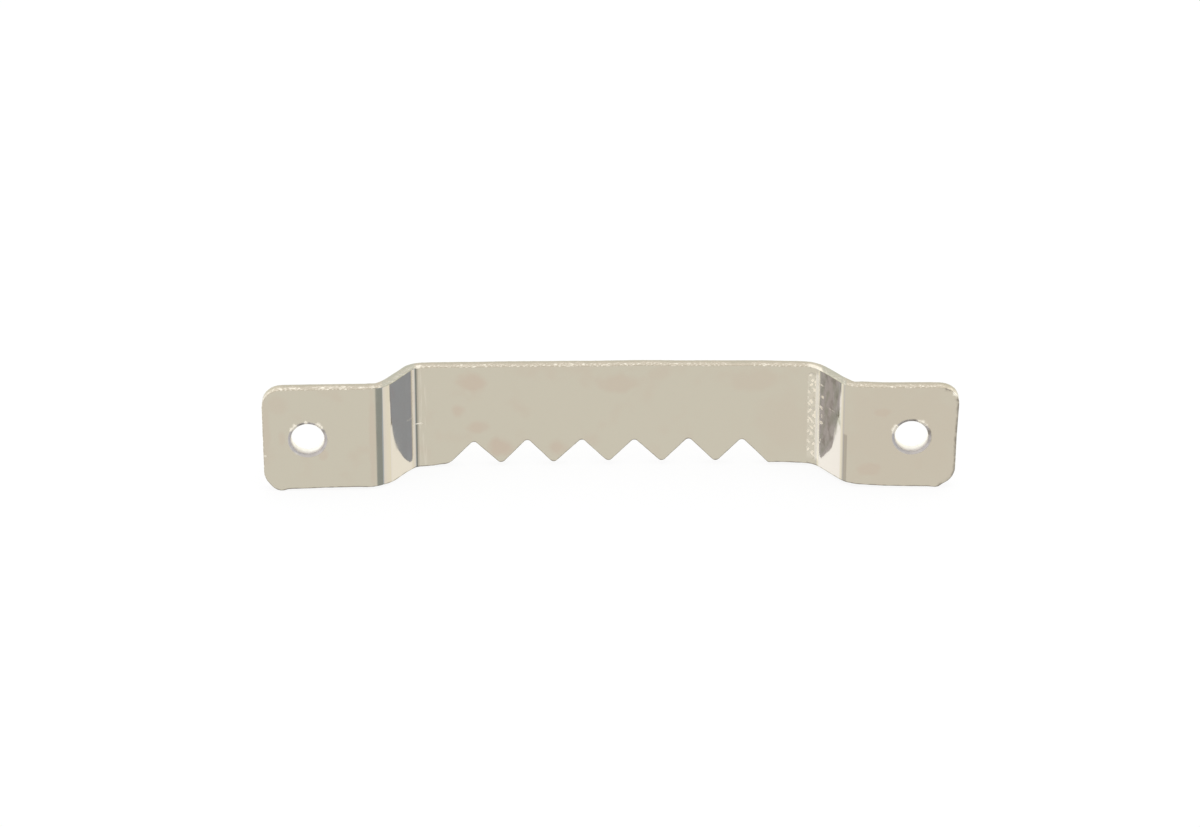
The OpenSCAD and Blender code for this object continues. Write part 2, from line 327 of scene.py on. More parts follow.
def toothed_edge(sizes):
    """The lower edge between the risers, from left to right: points and outward normals."""
    low = -sizes.width / 2
    arcs = []

    def flank_turn(root, tip, reach):
        """Direction from a root's centre to where its circle meets the flank towards the tip's circle."""
        v = np.array(tip) - np.array(root)
        off = math.acos(reach / np.hypot(*v))
        middle = math.atan2(v[1], v[0])
        return max(middle + off, middle - off, key=math.sin) % (2 * math.pi)

    root_r, tip_r = sizes.root_radius, sizes.tip_radius
    root_c = [(x, z - root_r) for x, z in ROOTS]
    tip_c = [(x, z + tip_r) for x, z in TIPS]
    sine, cosine = math.sin(sizes.flank_angle), math.cos(sizes.flank_angle)

    def shoulder(root, radius, side):
        """Centre of the rounding between land and flank, on the side of -1 or 1."""
        z = low + radius
        x = root[0] + side * (root_r + radius - sine * (z - root[1])) / cosine
        return x, z

    left_c = shoulder(root_c[0], sizes.left_shoulder, -1)
    right_c = shoulder(root_c[-1], sizes.right_shoulder, 1)
    tips = [(left_c, sizes.left_shoulder)] + [(c, tip_r) for c in tip_c] + [(right_c, sizes.right_shoulder)]
    for i, root in enumerate(root_c):
        (before, before_r), (after, after_r) = tips[i], tips[i + 1]
        fall = flank_turn(root, before, root_r + before_r)
        climb = flank_turn(root, after, root_r + after_r)
        if i == 0:
            arcs.append(arc(before, before_r, -math.pi / 2, fall - math.pi, LEFT_SHOULDER_POINTS))
        hollow, inward = arc(root, root_r, fall, climb, ROOT_POINTS)
        arcs.append((hollow, -inward))
        if i == len(root_c) - 1:
            end, count = -math.pi / 2, RIGHT_SHOULDER_POINTS
        else:
            end, count = flank_turn(root_c[i + 1], after, root_r + after_r) - math.pi, TIP_POINTS
        arcs.append(arc(after, after_r, climb - math.pi, end, count))
    points, normals = (np.concatenate(part) for part in zip(*arcs))
    fine_p, fine_n = [points[:1]], [normals[:1]]
    for a, b, m, n in zip(points[:-1], points[1:], normals[:-1], normals[1:]):
        parts = max(1, math.ceil(np.hypot(*(b - a)) / FLANK_STEP))
        w = np.arange(1, parts + 1)[:, None] / parts
        fine_p.append(a + w * (b - a))
        fine_n.append(m + w * (n - m))
    points, normals = np.concatenate(fine_p), np.concatenate(fine_n)
    return points, normals / np.hypot(normals[:, 0], normals[:, 1])[:, None]


class StripMesh:
    """Collects the strip's points in its flat blank, and lays them along the bends."""

    def __init__(self, sizes):
        self.sizes = sizes
        self.chain = bend_chain(sizes)
        self.flat = []
        self.normal = []
        self.shade = []
        self.faces = []
        self.kinds = []

    def point(self, s, z, depth, ns=0.0, nz=0.0, nd=-1.0):
        """Adds a point: running length, height and depth behind the front surface, with its normal."""
        self.flat.append((s, z, depth))
        self.normal.append((ns, nz, nd))
        self.shade.append(0.0)
        return len(self.flat) - 1

    def quad(self, a, b, c, d, kind):
        """Adds a face. The kind is its material's number."""
        self.faces.append((a, b, c, d))
        self.kinds.append(kind)

    def bent(self):
        """Points of the bent strip in millimetres, and a normal for each corner of each face."""
        s, x, y, angle, thick = self.chain
        flat = np.array(self.flat)
        a = np.interp(flat[:, 0], s, angle)
        depth = flat[:, 2] / self.sizes.thickness * np.interp(flat[:, 0], s, thick)
        out = flat[:, 0] - np.clip(flat[:, 0], s[0], s[-1])
        px = np.interp(flat[:, 0], s, x) + out * np.cos(a) - depth * np.sin(a)
        py = np.interp(flat[:, 0], s, y) + out * np.sin(a) + depth * np.cos(a)
        corners = np.array(self.faces)
        normal = np.array(self.normal)[corners]
        at = flat[corners][:, :, 0]
        a = a[corners]
        # A corner on a crease takes the slope a little way into its own face
        inward_share = 0.02
        inward = (1 - inward_share) * at + inward_share * at.mean(1, keepdims=True)
        polished = (normal[:, :, 0] == 0) & (normal[:, :, 1] == 0)
        a = np.where(polished, np.radians(table(SHINE, np.interp(inward, s, x))), a)
        nx = normal[:, :, 0] * np.cos(a) - normal[:, :, 2] * np.sin(a)
        ny = normal[:, :, 0] * np.sin(a) + normal[:, :, 2] * np.cos(a)
        normals = np.stack([nx, ny, normal[:, :, 1]], 2).reshape(-1, 3)
        return np.stack([px, py, flat[:, 1]], 1), normals / np.linalg.norm(normals, axis=1)[:, None]


def rows_of(count, crowd):
    """Even steps from 0 to 1, drawn towards both ends by the crowd share."""
    t = np.linspace(0, 1, count + 1)
    return (1 - crowd) * t + crowd * (1 - np.cos(math.pi * t)) / 2


def wall_profile(front_r, back_r, thickness):
    """Offset from the outline, depth and normal (outward, depth) from the front face to the back face."""
    rows = []
    for k in range(RIM_STEPS + 1):
        t = k / RIM_STEPS * math.pi / 2
        rows.append((-front_r * (1 - math.sin(t)), front_r * (1 - math.cos(t)), math.sin(t), -math.cos(t)))
    for k in range(1, WALL_STEPS):
        rows.append((0.0, front_r + (thickness - front_r - back_r) * k / WALL_STEPS, 1.0, 0.0))
    for k in range(RIM_STEPS):
        t = k / RIM_STEPS * math.pi / 2
        depth = thickness - back_r * (1 - math.sin(t))
        rows.append((-back_r * (1 - math.cos(t)), depth, math.cos(t), math.sin(t)))
    return rows


def torn_by(s, z, depth, waves, seed):
    """Unevenness of a cut at a place in the blank, from -1 to 1."""
    around, through = waves
    return noise.noise(Vector((s * around, z * around, depth * through)) + seed)


def add_wall(mesh, loop, front_r, back_r, rough, kind, shades):
    """Joins front and back round a loop of (front, back, s, z, ns, nz), and paints highlights and shade on
    its front rim.
    """
    rows = wall_profile(front_r, back_r, mesh.sizes.thickness)
    columns = []
    for i, (front, back, s, z, ns, nz) in enumerate(loop):
        column = [front]
        mesh.shade[front] = REACH_SHARE * shades[i] if abs(shades[i]) > STRONG_RIM_SHADE else 0.0
        for off, depth, out, deep in rows:
            torn = torn_by(s, z, depth, FINE_TEAR, NOISE_SEED) * rough
            torn += torn_by(s, z, depth, BROAD_TEAR, -NOISE_SEED) * rough
            o = off + torn
            column.append(mesh.point(s + o * ns, z + o * nz, depth, out * ns, out * nz, deep))
            mesh.shade[-1] = shades[i] * max(0.0, 1 - depth / (2 * front_r))
        column.append(back)
        columns.append(column)
    for one, two in zip(columns, columns[1:] + columns[:1]):
        for k in range(len(one) - 1):
            mesh.quad(one[k], one[k + 1], two[k + 1], two[k], kind if k else FACE)


def outward(points):
    """Outward normals of a closed outline that runs right along the lower edge."""
    along = np.roll(points, -1, 0) - np.roll(points, 1, 0)
    normals = np.stack([along[:, 1], -along[:, 0]], 1)
    return normals / np.hypot(normals[:, 0], normals[:, 1])[:, None]


def tab_outline(sizes, side, join, end):
    """A tab's lower edge, end and upper edge as flat (s, z) points, from its lower join to its upper join."""
    half_w = sizes.width / 2
    low_r = sizes.corner_radius
    top_r = sizes.right_corner if side > 0 else low_r
    points = [(s, -half_w) for s in np.linspace(join, end - side * low_r, TAB_EDGE_POINTS)[1:-1]]
    turn = np.linspace(-math.pi / 2, 0, CORNER_POINTS)
    points += [(end - side * low_r * (1 - math.cos(t)), -half_w + low_r * (1 + math.sin(t))) for t in turn]
    points += [(end, z) for z in np.linspace(-half_w + low_r, half_w - top_r, TAB_END_POINTS)[1:-1]]
    turn += math.pi / 2
    points += [(end - side * top_r * (1 - math.cos(t)), half_w - top_r * (1 - math.sin(t))) for t in turn]
    points += [(s, half_w) for s in np.linspace(end - side * top_r, join, TAB_EDGE_POINTS)[1:-1]]
    return np.array(points)


def build_strip(sizes):
    """The whole strip as one closed mesh of quads."""
    mesh = StripMesh(sizes)
    s_line, x_line, _, angle, _ = mesh.chain
    thick, half_w = sizes.thickness, sizes.width / 2
    front_r, back_r = sizes.burr_round, sizes.die_roll

    # Columns from tab to tab, with one at every point of the toothed edge
    edge_p, _ = toothed_edge(sizes)
    edge_s = np.interp(edge_p[:, 0], x_line, s_line)
    shine = np.radians(table(SHINE, x_line))
    turning = np.concatenate([[0], np.cumsum(np.abs(np.diff(angle)) + np.abs(np.diff(shine)))])
    measure = turning / math.radians(COLUMN_TURN) + s_line / COLUMN_STEP
    start, end = np.interp([SLOPES[1][0] - COLUMN_STEP, SLOPES[-2][0] + COLUMN_STEP], x_line, s_line)

    def columns_between(a, b):
        """Columns from one running length to another, closer together where the strip turns."""
        lo, hi = np.interp([a, b], s_line, measure)
        count = max(2, round(hi - lo))
        return np.interp(np.linspace(lo, hi, count + 1), measure, s_line)

    def on_creases(places):
        """Adds a column on each crease, and drops those too close to one."""
        for crease in np.interp(CREASES, x_line, s_line):
            if places[0] < crease < places[-1]:
                places = np.sort(np.append(places[np.abs(places - crease) > CREASE_GAP], crease))
        return places

    left = on_creases(columns_between(start, edge_s[0]))[:-1]
    right = on_creases(columns_between(edge_s[-1], end))[1:]
    column_s = np.concatenate([left, edge_s, right])
    low_z = np.concatenate([np.full(len(left), -half_w), edge_p[:, 1], np.full(len(right), -half_w)])

    # The outline, once round: lower edge, right tab, upper edge, left tab
    lower = np.stack([column_s, low_z], 1)
    upper = np.stack([column_s, np.full(len(column_s), half_w)], 1)[::-1]
    right_tab = tab_outline(sizes, 1, column_s[-1], s_line[-1])
    left_tab = tab_outline(sizes, -1, column_s[0], s_line[0])[::-1]
    outline = np.concatenate([lower, right_tab, upper, left_tab])
    x_of = np.interp(outline[:, 0], s_line, x_line)
    z_of = outline[:, 1].copy()
    near_edge = np.clip((np.abs(z_of) / half_w - WANDER_START_SHARE) / WANDER_RUN_SHARE, 0, 1)
    off_teeth = np.clip(np.maximum(x_of - edge_p[-1, 0], edge_p[0, 0] - x_of) / TEETH_FADE, 0, 1)
    wander = np.where(z_of > 0, table(TOP_WANDER, x_of), -table(LOW_WANDER, x_of) * off_teeth)
    outline[:, 1] += wander * near_edge
    near_end = np.clip((np.abs(x_of) - LEAN_START) / LEAN_RUN, 0, 1)
    outline[:, 0] += np.where(x_of > 0, table(RIGHT_LEAN, z_of), -table(LEFT_LEAN, z_of)) * near_end
    out = outward(outline)
    counts = np.cumsum([len(lower), len(right_tab), len(upper), len(left_tab)])
    lower, right_tab, upper, left_tab = np.split(np.hstack([outline, out]), counts[:-1])
    upper, left_tab = upper[::-1], left_tab[::-1]
    weights = rows_of(STRIP_ROWS, STRIP_CROWD)

    def sheet(depth, inset, nd):
        """Points of the front or back face between the tabs."""
        grid = []
        for low, top in zip(lower, upper):
            a, b = top[:2] - inset * top[2:], low[:2] - inset * low[2:]
            grid.append([mesh.point(*(a + w * (b - a)), depth, 0, 0, nd) for w in weights])
        return grid

    front = sheet(0.0, front_r + RIM_BAND, -1.0)
    back = sheet(thick, back_r, 1.0)
    for grid, flip in ((front, False), (back, True)):
        for one, two in zip(grid, grid[1:]):
            for j in range(len(weights) - 1):
                q = (one[j], one[j + 1], two[j + 1], two[j])
                mesh.quad(*(q[::-1] if flip else q), FACE)

    def tab(side, edge, join, end):
        """One tab: rings from its screw hole to its outline. Returns its part of the loop round the strip."""
        hole = np.array([end - side * sizes.hole_inset, HOLE_HEIGHT])
        hole_r, back_roll = sizes.hole_diameter / 2, sizes.die_roll * HOLE_EDGE_SHARE
        ring_w = rows_of(HOLE_ROWS, HOLE_CROWD)
        sides = []
        for depth, inset, nd, grid, rim in (
            (0.0, front_r + RIM_BAND, -1.0, front, sizes.rim_roll + RIM_BAND),
            (thick, back_r, 1.0, back, back_roll),
        ):
            shore = list(edge[:, :2] - inset * edge[:, 2:]) + [np.array(mesh.flat[v][:2]) for v in grid[join]]
            known = [None] * len(edge) + list(grid[join])
            spokes = []
            for target, vertex in zip(shore, known):
                ray = (target - hole) / np.hypot(*(target - hole))
                inner = hole + ray * (hole_r + rim)
                spoke = [mesh.point(*(inner + w * (target - inner)), depth, 0, 0, nd) for w in ring_w[:-1]]
                spoke.append(vertex if vertex is not None else mesh.point(*target, depth, 0, 0, nd))
                spokes.append((spoke, ray))
            sides.append(spokes)
            flip = (side > 0) == (nd < 0)
            for (one, _), (two, _) in zip(spokes, spokes[1:] + spokes[:1]):
                for j in range(len(ring_w) - 1):
                    q = (one[j], two[j], two[j + 1], one[j + 1])
                    mesh.quad(*(q[::-1] if flip else q), FACE)
        front_spokes, back_spokes = sides
        hole_loop = []
        for (f, ray), (b, _) in zip(front_spokes, back_spokes):
            hole_loop.append((f[0], b[0], *(hole + ray * hole_r), *(-ray)))
        if side > 0:
            hole_loop = hole_loop[::-1]
        # Painted highlights and shade round the hole's rim
        bearings = [math.degrees(math.atan2(-row[5], -row[4])) % 360 for row in hole_loop]
        shades = table(RIGHT_RIM if side > 0 else LEFT_RIM, bearings)
        add_wall(mesh, hole_loop, sizes.rim_roll, back_roll, sizes.edge_rough * HOLE_EDGE_SHARE, BORE, shades)
        return [(front_spokes[k][0][-1], back_spokes[k][0][-1], *edge[k]) for k in range(len(edge))]

    left_loop = tab(-1, left_tab, 0, s_line[0])
    right_loop = tab(1, right_tab, -1, s_line[-1])
    low_loop = [(f[-1], b[-1], *p) for f, b, p in zip(front, back, lower)]
    top_loop = [(f[0], b[0], *p) for f, b, p in zip(front, back, upper)]
    loop = low_loop + right_loop + top_loop[::-1] + left_loop[::-1]
    # Painted shade along the strip's edges, with a painted highlight at the right end's upper corner
    bearings = [math.degrees(math.atan2(row[5], row[4])) for row in loop]
    at_end = [row[2] > s_line[-1] - END_REACH for row in loop]
    shades = np.where(at_end, table(END_RIM, bearings), table(PLAIN_RIM, bearings))
    add_wall(mesh, loop, front_r, back_r, sizes.edge_rough, EDGE, shades)
    return mesh


def add_node(tree, kind, inputs=None, **settings):
    """Adds a node, sets its properties, and gives its inputs values or links."""
    node = tree.nodes.new(kind)
    for key, value in settings.items():
        setattr(node, key, value)
    for key, value in (inputs or {}).items():
        if isinstance(value, bpy.types.NodeSocket):
            tree.links.new(value, node.inputs[key])
        else:
            node.inputs[key].default_value = value
    return node


def empty_material(name):
    """A new material without nodes, and its tree."""
    material = bpy.data.materials.new(name)
    material.use_nodes = True
    material.node_tree.nodes.clear()
    return material, material.node_tree


def maths(tree, operation, *values):
    """One sum of numbers or sockets."""
    return add_node(tree, "ShaderNodeMath", dict(enumerate(values)), operation=operation).outputs[0]


def between(tree, value, low, high, to_low=0.0, to_high=1.0):
    """Follows a value from low to high smoothly."""
    inputs = {"Value": value, "From Min": low, "From Max": high, "To Min": to_low, "To Max": to_high}
    return add_node(tree, "ShaderNodeMapRange", inputs, interpolation_type="SMOOTHSTEP").outputs["Result"]


def blend(tree, share, one, other):
    """One colour, turned to the other by a share."""
    inputs = {"Factor": share, "A": one, "B": other}
    return add_node(tree, "ShaderNodeMix", inputs, data_type="RGBA").outputs["Result"]


def drawn_out(tree, place, stretch, turn):
    """A place turned in the strip's plane and drawn out along some axes."""
    laid = add_node(tree, "ShaderNodeMapping", {"Vector": place, "Rotation": (0, 0, turn)}).outputs["Vector"]
    scale = tuple(1 / s for s in stretch)
    return add_node(tree, "ShaderNodeMapping", {"Vector": laid, "Scale": scale}).outputs["Vector"]


def dots(tree, place, size_mm, stretch, turn):
    """Distance from scattered dots, one for each size in millimetres, as a share of that size."""
    inputs = {"Vector": drawn_out(tree, place, stretch, turn), "Scale": 1 / (size_mm * MM)}
    return add_node(tree, "ShaderNodeTexVoronoi", inputs, voronoi_dimensions="2D").outputs["Distance"]


def grain(tree, place, size_mm, detail=2.0, stretch=(1, 1, 1), turn=0.0):
    """Noise with features of a size in millimetres, drawn out and turned in the strip's plane."""
    inputs = {"Vector": drawn_out(tree, place, stretch, turn), "Scale": 1 / (size_mm * MM), "Detail": detail}
    return add_node(tree, "ShaderNodeTexNoise", inputs).outputs["Fac"]


def blank_place(tree):
    """Place in the flat blank: running length, height and depth. It follows the strip round its bends."""
    return add_node(tree, "ShaderNodeAttribute", attribute_name="blank").outputs["Vector"]


def world_place(tree):
    """Place in the hanger: along it, away from the frame, and up."""
    place = add_node(tree, "ShaderNodeTexCoord").outputs["Object"]
    return add_node(tree, "ShaderNodeSeparateXYZ", {0: place}).outputs


def depth_of(tree, blank):
    """Depth behind the frame side, from a place in the flat blank."""
    return add_node(tree, "ShaderNodeSeparateXYZ", {0: blank}).outputs["Z"]


def times(tree, one, other):
    """One share taken of another."""
    return maths(tree, "MULTIPLY", one, other)


def either(tree, one, other):
    """The larger of two shares."""
    return maths(tree, "MAXIMUM", one, other)


def within(tree, length, limits_mm, to_low=0.0, to_high=1.0):
    """Follows a length between two limits in millimetres."""
    low, high = limits_mm
    return between(tree, length, low * MM, high * MM, to_low, to_high)


def patches(tree, noise_value, low, high, strength=1.0):
    """How strongly patches show: not at all where the noise is low, and at full strength where it is high."""
    return between(tree, noise_value, low, high, 0.0, strength)


def in_zones(tree, along, *zones):
    """1 inside upright zones of the strip, and 0 beyond their soft sides."""
    total = 0.0
    for middle, half, fringe in zones:
        off = maths(tree, "ABSOLUTE", maths(tree, "SUBTRACT", along, middle * MM))
        total = either(tree, total, within(tree, off, (half, half + fringe), 1.0, 0.0))
    return total


def marked(tree, marks, along, up, ragged, reach, fringe):
    """How strongly a table of oval marks shows, with a ragged outline."""
    total = 0.0
    for x, z, half_x, half_z, strength in marks:
        across = maths(tree, "DIVIDE", maths(tree, "SUBTRACT", along, x * MM), half_x * MM)
        upward = maths(tree, "DIVIDE", maths(tree, "SUBTRACT", up, z * MM), half_z * MM)
        squares = maths(tree, "ADD", maths(tree, "POWER", across, 2), maths(tree, "POWER", upward, 2))
        uneven = times(tree, maths(tree, "SUBTRACT", ragged, 0.5), reach)
        far = maths(tree, "ADD", maths(tree, "SQRT", squares), uneven)
        total = either(tree, total, between(tree, far, 1 - fringe, 1 + fringe, strength, 0.0))
    return total


def shaded(tree, blank, colour, finish):
    """A colour turned bright or dark by the painted highlights and shade that the points carry."""
    shade = add_node(tree, "ShaderNodeAttribute", attribute_name="shade").outputs["Fac"]
    uneven = times(tree, shade, between(tree, grain(tree, blank, 0.6), 0.3, 0.7, 0.5, 1.4))
    colour = blend(tree, between(tree, uneven, -0.1, -1.0, 0.0, 0.85), colour, finish.grime_and_shade)
    return blend(tree, between(tree, uneven, 0.15, 0.75), colour, finish.scuff_and_glint)


def finished(tree, colour, roughness, bump):
    """Plated metal with this colour, roughness and bump."""
    shader = add_node(tree, "ShaderNodeBsdfPrincipled", {
        "Metallic": 1.0, "Base Color": colour, "Roughness": roughness, "Normal": bump.outputs["Normal"],
    })
    add_node(tree, "ShaderNodeOutputMaterial", {"Surface": shader.outputs["BSDF"]})


def uneven_surface(tree, height, depth_mm, strength):
    """A bump of a depth in millimetres."""
    inputs = {"Strength": strength, "Distance": depth_mm * MM, "Height": height}
    return add_node(tree, "ShaderNodeBump", inputs)


def painted_riser_reflection(tree, colour, blank, riser, slant, finish):
    """The right riser's painted dark reflections: dull patches above the slanting line, and how strongly its
    pale streaks show.
    """
    upper = times(tree, riser, within(tree, slant, SLANT_LIMITS))
    pale = patches(tree, grain(tree, blank, 1.5, stretch=(0.5, 1.5, 1), turn=0.25), 0.40, 0.66, 0.8)
    deep = patches(tree, grain(tree, blank, 1.0, stretch=(0.6, 1.2, 1), turn=-0.25), 0.50, 0.70, 0.45)
    streak = patches(tree, grain(tree, blank, 0.3, stretch=(0.5, 6, 1)), 0.52, 0.7, 0.12)
    colour = blend(tree, times(tree, upper, pale), colour, finish.blotch)
    colour = blend(tree, times(tree, upper, deep), colour, finish.grime_and_shade)
    return colour, times(tree, upper, streak)


def nickel_plate(finish):
    """Bright nickel plate on cold rolled steel strip."""
    # Thin bright plating over a rolled face: a warm grey mirror, slightly hazy, with faint rolling lines and
    # with warm stains a millimetre or two across where the rinse dried. The risers are painted whiter, a
    # painted sheen, and the bending tool rubbed the right bend, which glitters with small scuffs. Real
    # rolling lines are finer.
    material, tree = empty_material("Bright nickel plate on rolled steel")
    blank = blank_place(tree)
    along, _, up = world_place(tree)
    # Stains, scratches, scuffs and the painted shade in the bends lie on the frame side alone; the rest shows
    # on both sides
    frame_side = within(tree, depth_of(tree, blank), MARK_DEPTH, 1.0, 0.0)
    cloud = grain(tree, blank, 1.6, detail=3.0)
    stains = times(tree, marked(tree, STAINS, along, up, cloud, reach=1.8, fringe=0.5), frame_side)
    drift = patches(tree, grain(tree, blank, 3.0), 0.52, 0.75, 0.35)
    colour = blend(tree, either(tree, stains, drift), finish.plate, finish.stain)

    # The risers are painted whiter, a painted sheen; the right one also carries painted dark reflections
    colour = blend(tree, in_zones(tree, along, LEFT_RISER, RIGHT_RISER), colour, finish.painted_sheen)
    right_riser = in_zones(tree, along, RIGHT_RISER)
    from_foot = maths(tree, "SUBTRACT", along, SLANT_FOOT * MM)
    slant = maths(tree, "SUBTRACT", up, times(tree, SLANT, from_foot))
    colour, streaks = painted_riser_reflection(tree, colour, blank, right_riser, slant, finish)

    # Lines that the tool drew down the plate beside the left bend, and painted shade in that bend and low in
    # the right tab's bend
    lines_zone = times(tree, in_zones(tree, along, TOOL_LINES), frame_side)
    lines = patches(tree, grain(tree, blank, 0.22, detail=1.0, stretch=(1, 14, 1)), 0.48, 0.64, 0.12)
    colour = blend(tree, times(tree, lines_zone, lines), colour, finish.scuff_and_glint)
    lower_part = within(tree, up, BEND_SHADE_TOP, 0.0, 0.45)
    right_bend_shade = times(tree, in_zones(tree, along, RIGHT_BEND_SHADE), lower_part)
    left_crease_shade = times(tree, in_zones(tree, along, LEFT_CREASE_SHADE), 0.35)
    bend_shade = times(tree, either(tree, right_bend_shade, left_crease_shade), frame_side)
    colour = blend(tree, bend_shade, colour, finish.grime_and_shade)

    # Scuffs: short bright scratches that lean both ways, in a band at the right bend
    rub = in_zones(tree, along, SCUFF_BAND)
    smooth = in_zones(tree, along, SMOOTH_BAND)
    height = times(tree, within(tree, maths(tree, "ABSOLUTE", up), SCUFF_END, 1.0, 0.0), frame_side)
    flecked = grain(tree, blank, 0.5, detail=1.0)
    scratch = patches(tree, flecked, 0.60, 0.70, 0.4)
    for size_mm, stretch, turn, whole, gone in (
        (0.60, (0.8, 1.25, 1), 0.7, 0.17, 0.30), (0.90, (0.55, 1.6, 1), -0.8, 0.12, 0.24),
    ):
        off_middle = dots(tree, blank, size_mm, stretch, turn)
        scratch = either(tree, scratch, between(tree, off_middle, whole, gone, 1.0, 0.0))
    scratch = times(tree, scratch, times(tree, rub, height))
    scored = times(tree, marked(tree, SCRATCHES, along, up, cloud, reach=0.6, fringe=0.35), frame_side)
    bright = either(tree, scratch, scored)
    haze = maths(tree, "ADD", times(tree, rub, 0.15), times(tree, smooth, 0.55))
    # The right riser's pale streaks, part of its painted reflection, add to the haze
    haze = maths(tree, "ADD", times(tree, haze, height), streaks)
    colour = blend(tree, haze, colour, finish.scuff_and_glint)
    tint = times(tree, rub, patches(tree, flecked, 0.56, 0.70, 0.5))
    colour = blend(tree, tint, colour, finish.grime_and_shade)
    colour = blend(tree, bright, colour, finish.scuff_and_glint)
    colour = shaded(tree, blank, colour, finish)

    rolled = grain(tree, blank, 0.25, stretch=(24, 1, 1))
    lift = maths(tree, "ADD", times(tree, rolled, 0.2), times(tree, bright, 0.6))
    # Scratches scatter light, so they stay bright where the plate mirrors something dark
    roughness = maths(tree, "ADD", between(tree, cloud, 0.35, 0.7, *PLATE_ROUGHNESS), times(tree, haze, 0.4))
    roughness = maths(tree, "ADD", roughness, times(tree, bright, 0.6))
    finished(tree, colour, roughness, uneven_surface(tree, lift, ROLLED_DEPTH, strength=0.5))
    return material


def sheared_edge(finish):
    """Nickel plate over a sheared edge."""
    # The punch burnishes the half of the cut beside the frame side and tears the rest. Next to the face the
    # cut shows a bright line with small painted glints, and a duller one outside it.
    material, tree = empty_material("Nickel plate over sheared steel")
    blank = blank_place(tree)
    along = world_place(tree)[0]
    wavering = times(tree, maths(tree, "SUBTRACT", grain(tree, blank, 0.9), 0.5), WAVER * MM)
    depth = maths(tree, "ADD", depth_of(tree, blank), wavering)
    outside = within(tree, depth, TORN_DEPTH)
    colour = blend(tree, outside, finish.edge, finish.torn)

    # The painted glints keep to the burnished band, and are fewer where it is worn and on the risers, which
    # are dull
    riser = in_zones(tree, along, LEFT_RISER_EDGE, RIGHT_RISER_EDGE)
    worn = in_zones(tree, along, WORN_EDGE)
    inside = within(tree, depth, SPARK_DEPTH, 1.0, 0.1)
    for zone, loss in ((worn, 0.8), (riser, 0.6)):
        inside = times(tree, inside, maths(tree, "SUBTRACT", 1.0, times(tree, zone, loss)))
    spark = patches(tree, grain(tree, blank, 0.38, detail=1.0, stretch=(1.4, 1, 0.8)), 0.60, 0.72)
    pit = patches(tree, grain(tree, blank, 0.45, detail=1.0, stretch=(1, 1.4, 0.8)), 0.56, 0.7, 0.4)
    fine = patches(tree, grain(tree, blank, 0.2, detail=1.0, stretch=(1.3, 1, 0.7)), 0.48, 0.70, 0.65)
    colour = blend(tree, times(tree, riser, 0.7), colour, finish.blotch)
    colour = blend(tree, pit, colour, finish.stain)
    colour = blend(tree, times(tree, either(tree, spark, fine), inside), colour, finish.scuff_and_glint)

    # Beside both bends the cut edge carries a painted highlight
    bend_glint = times(tree, in_zones(tree, along, LEFT_EDGE_GLINT, RIGHT_EDGE_GLINT), 0.7)
    colour = blend(tree, times(tree, bend_glint, inside), colour, finish.scuff_and_glint)
    colour = shaded(tree, blank, colour, finish)
    torn_surface = uneven_surface(tree, grain(tree, blank, 0.3, detail=3.0), TEAR_DEPTH, strength=0.5)
    finished(tree, colour, between(tree, outside, 0, 1, *CUT_ROUGHNESS), torn_surface)
    return material


def punched_bore(finish):
    """Nickel plate inside a screw hole."""
    # The punch polishes the bore and rolls its front rim over. The bore mirrors the white table and all but
    # vanishes, with a painted highlight in its near-white colour; on the rim, painted whiter, small painted
    # highlights and painted shade follow one another.
    material, tree = empty_material("Nickel plate in a punched bore")
    blank = blank_place(tree)
    polish = within(tree, depth_of(tree, blank), POLISH_DEPTH)
    colour = shaded(tree, blank, blend(tree, polish, finish.painted_sheen, finish.bore), finish)
    scores = uneven_surface(tree, grain(tree, blank, 0.3), SCORE_DEPTH, strength=0.4)
    finished(tree, colour, between(tree, grain(tree, blank, 0.5), 0.3, 0.7, *BORE_ROUGHNESS), scores)
    return material


class HANGER_OT_strip(bpy.types.Operator):
    """Builds the bent and toothed strip"""

    bl_idname = "hanger.strip"
    bl_label = "Plated steel strip"

    def execute(self, context):
        sizes, finish = context.scene.hanger_sizes, context.scene.hanger_finish
        build = build_strip(sizes)
        points, normals = build.bent()
        mesh = bpy.data.meshes.new(STRIP_NAME)
        mesh.from_pydata((points * MM).tolist(), [], build.faces)
        for material in (nickel_plate(finish), sheared_edge(finish), punched_bore(finish)):
            mesh.materials.append(material)
        mesh.polygons.foreach_set("material_index", build.kinds)
        mesh.polygons.foreach_set("use_smooth", [True] * len(build.faces))
        mesh.update()
        mesh.normals_split_custom_set(normals.tolist())
        blank = mesh.attributes.new("blank", "FLOAT_VECTOR", "POINT")
        blank.data.foreach_set("vector", (np.array(build.flat) * MM).ravel())
        shade = mesh.attributes.new("shade", "FLOAT", "POINT")
        shade.data.foreach_set("value", build.shade)
        strip = bpy.data.objects.new(STRIP_NAME, mesh)
        context.scene.collection.objects.link(strip)
        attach(strip, "root")
        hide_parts(NODE)
        return {"FINISHED"}


class HANGER_OT_stage(bpy.types.Operator):
    """Sets the floor, the soft light and the camera"""

    bl_idname = "hanger.stage"
    bl_label = "Floor, light and camera"

    def execute(self, context):
        scene = context.scene
        stage, finish = scene.hanger_stage, scene.hanger_finish
        place_camera(scene, stage)
        lay_floor(scene, finish)
        hang_lamp(scene, stage)
        light_room(scene)
        scene.view_settings.view_transform = "Standard"
        return {"FINISHED"}


# The camera's film in mm, and the nearest that it sees in m
SENSOR_WIDTH, NEAREST_SEEN = 36, 0.01
# The table reaches this far each way, in m; the share of its look that takes shadow
FLOOR_REACH, SHADOW_SHARE = 2.0, 0.11
# The lamp's width and place, in m, and how it is turned, in degrees
LAMP_WIDTH, LAMP_PLACE, LAMP_TURN = 0.5, (0.05, -0.1, 0.6), (-10, 5, 0)


